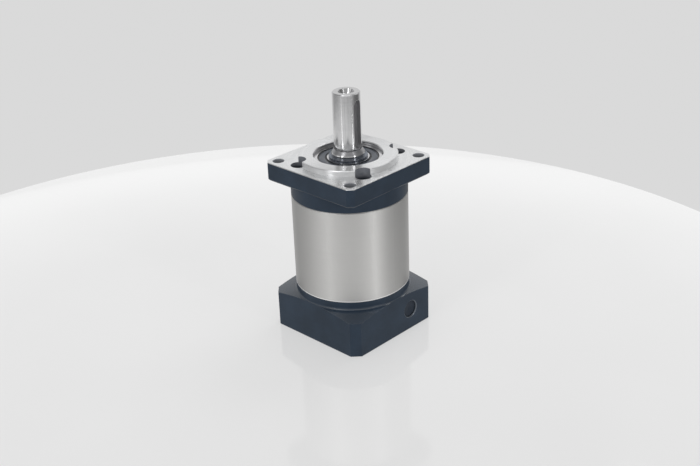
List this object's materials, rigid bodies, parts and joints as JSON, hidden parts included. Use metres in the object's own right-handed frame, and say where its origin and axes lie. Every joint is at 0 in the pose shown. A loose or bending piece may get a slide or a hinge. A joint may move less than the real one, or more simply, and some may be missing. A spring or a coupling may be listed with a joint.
{
  "type": "inline planetary gear reducer",
  "caption": "Square-flanged inline planetary gearhead with keyed output shaft, round ring-gear body and square clamp-type motor adapter.",
  "frame": {"origin": "on the shaft axis, in the plane of the output flange's square mounting face", "axes": "+Z along the output shaft, away from the gearbox; X and Y square to the flange's sides, +X towards the keyway and the clamp-screw access hole"},
  "size_m": [0.06, 0.06, 0.127],
  "materials": {
    "black_anodised": "satin black anodised, mounting face machined bright",
    "ground_steel": "satin turned steel",
    "shaft_steel": "ground steel",
    "gear_steel": "hobbed, oiled steel",
    "bearing_steel": "polished bearing steel",
    "cage_brass": "pressed sheet",
    "seal_rubber": "moulded nitrile rubber",
    "bronze": "sintered bronze",
    "black_fastener": "black oxide",
    "spring_steel": "phosphated spring steel",
    "collar_steel": "turned steel",
    "plug_nylon": "moulded black nylon"
  },
  "bodies": {
    "housing": {"access_plug": "plug_nylon", "adapter_screws": "black_fastener", "bore_circlip": "spring_steel", "flange_screws": "black_fastener", "front_bearing_outer_race": "bearing_steel", "front_bearing_seals": "seal_rubber", "front_o_ring": "seal_rubber", "input_bearing_outer_race": "bearing_steel", "input_bearing_seals": "seal_rubber", "motor_adapter": "black_anodised", "output_flange": "black_anodised", "rear_bearing_outer_race": "bearing_steel", "rear_bearing_seals": "seal_rubber", "rear_o_ring": "seal_rubber", "ring_gear": "ground_steel"},
    "output": {"output_shaft": "shaft_steel", "output_planet_pins": "bearing_steel", "output_thrust_washers": "bronze", "support_bush": "bronze", "bearing_spacer": "bearing_steel", "shaft_circlip": "spring_steel", "front_bearing_inner_race": "bearing_steel", "rear_bearing_inner_race": "bearing_steel"},
    "interstage": {"interstage_carrier": "gear_steel", "input_planet_pins": "bearing_steel", "input_thrust_washers": "bronze", "interstage_thrust_ring": "bronze"},
    "input": {"input_hub": "shaft_steel", "clamp_collar": "collar_steel", "clamp_screw": "black_fastener", "hub_circlip": "spring_steel", "input_bearing_inner_race": "bearing_steel"},
    "front_balls": {"front_bearing_balls": "bearing_steel", "front_bearing_cage": "cage_brass"},
    "rear_balls": {"rear_bearing_balls": "bearing_steel", "rear_bearing_cage": "cage_brass"},
    "input_balls": {"input_bearing_balls": "bearing_steel", "input_bearing_cage": "cage_brass"},
    "output_planet_a": {"output_planet_a": "gear_steel", "output_planet_bush_a": "bronze"},
    "output_planet_b": {"output_planet_b": "gear_steel", "output_planet_bush_b": "bronze"},
    "output_planet_c": {"output_planet_c": "gear_steel", "output_planet_bush_c": "bronze"},
    "input_planet_a": {"input_planet_a": "gear_steel", "input_planet_bush_a": "bronze"},
    "input_planet_b": {"input_planet_b": "gear_steel", "input_planet_bush_b": "bronze"},
    "input_planet_c": {"input_planet_c": "gear_steel", "input_planet_bush_c": "bronze"}
  },
  "joints": [
    {"name": "output_spin", "type": "hinge", "parent": "housing", "child": "output", "pos_m": [0, 0, 0], "axis": [0, 0, 1], "continuous": true},
    {"name": "output_planet_a_spin", "type": "hinge", "parent": "output", "child": "output_planet_a", "pos_m": [0.01464, 0.00128, -0.0291], "axis": [0, 0, 1], "continuous": true},
    {"name": "output_planet_b_spin", "type": "hinge", "parent": "output", "child": "output_planet_b", "pos_m": [-0.00843, 0.01204, -0.0291], "axis": [0, 0, 1], "continuous": true},
    {"name": "output_planet_c_spin", "type": "hinge", "parent": "output", "child": "output_planet_c", "pos_m": [-0.00621, -0.01332, -0.0291], "axis": [0, 0, 1], "continuous": true},
    {"name": "interstage_spin", "type": "hinge", "parent": "housing", "child": "interstage", "pos_m": [0, 0, -0.0428], "axis": [0, 0, 1], "continuous": true},
    {"name": "input_planet_a_spin", "type": "hinge", "parent": "interstage", "child": "input_planet_a", "pos_m": [0.01204, 0.00843, -0.0496], "axis": [0, 0, 1], "continuous": true},
    {"name": "input_planet_b_spin", "type": "hinge", "parent": "interstage", "child": "input_planet_b", "pos_m": [-0.01332, 0.00621, -0.0496], "axis": [0, 0, 1], "continuous": true},
    {"name": "input_planet_c_spin", "type": "hinge", "parent": "interstage", "child": "input_planet_c", "pos_m": [0.00128, -0.01464, -0.0496], "axis": [0, 0, 1], "continuous": true},
    {"name": "input_spin", "type": "hinge", "parent": "housing", "child": "input", "pos_m": [0, 0, -0.067], "axis": [0, 0, 1], "continuous": true},
    {"name": "front_cage_spin", "type": "hinge", "parent": "housing", "child": "front_balls", "pos_m": [0, 0, -0.004], "axis": [0, 0, 1], "continuous": true},
    {"name": "rear_cage_spin", "type": "hinge", "parent": "housing", "child": "rear_balls", "pos_m": [0, 0, -0.0137], "axis": [0, 0, 1], "continuous": true},
    {"name": "input_cage_spin", "type": "hinge", "parent": "housing", "child": "input_balls", "pos_m": [0, 0, -0.067], "axis": [0, 0, 1], "continuous": true}
  ],
  "couplings": [
    {"joint": "output_planet_a_spin", "follows": "output_spin", "ratio": -3},
    {"joint": "output_planet_b_spin", "follows": "output_spin", "ratio": -3},
    {"joint": "output_planet_c_spin", "follows": "output_spin", "ratio": -3},
    {"joint": "interstage_spin", "follows": "output_spin", "ratio": 4},
    {"joint": "input_planet_a_spin", "follows": "output_spin", "ratio": -12},
    {"joint": "input_planet_b_spin", "follows": "output_spin", "ratio": -12},
    {"joint": "input_planet_c_spin", "follows": "output_spin", "ratio": -12},
    {"joint": "input_spin", "follows": "output_spin", "ratio": 16},
    {"joint": "front_cage_spin", "follows": "output_spin", "ratio": 0.4085},
    {"joint": "rear_cage_spin", "follows": "output_spin", "ratio": 0.4255},
    {"joint": "input_cage_spin", "follows": "output_spin", "ratio": 6.7368}
  ]
}
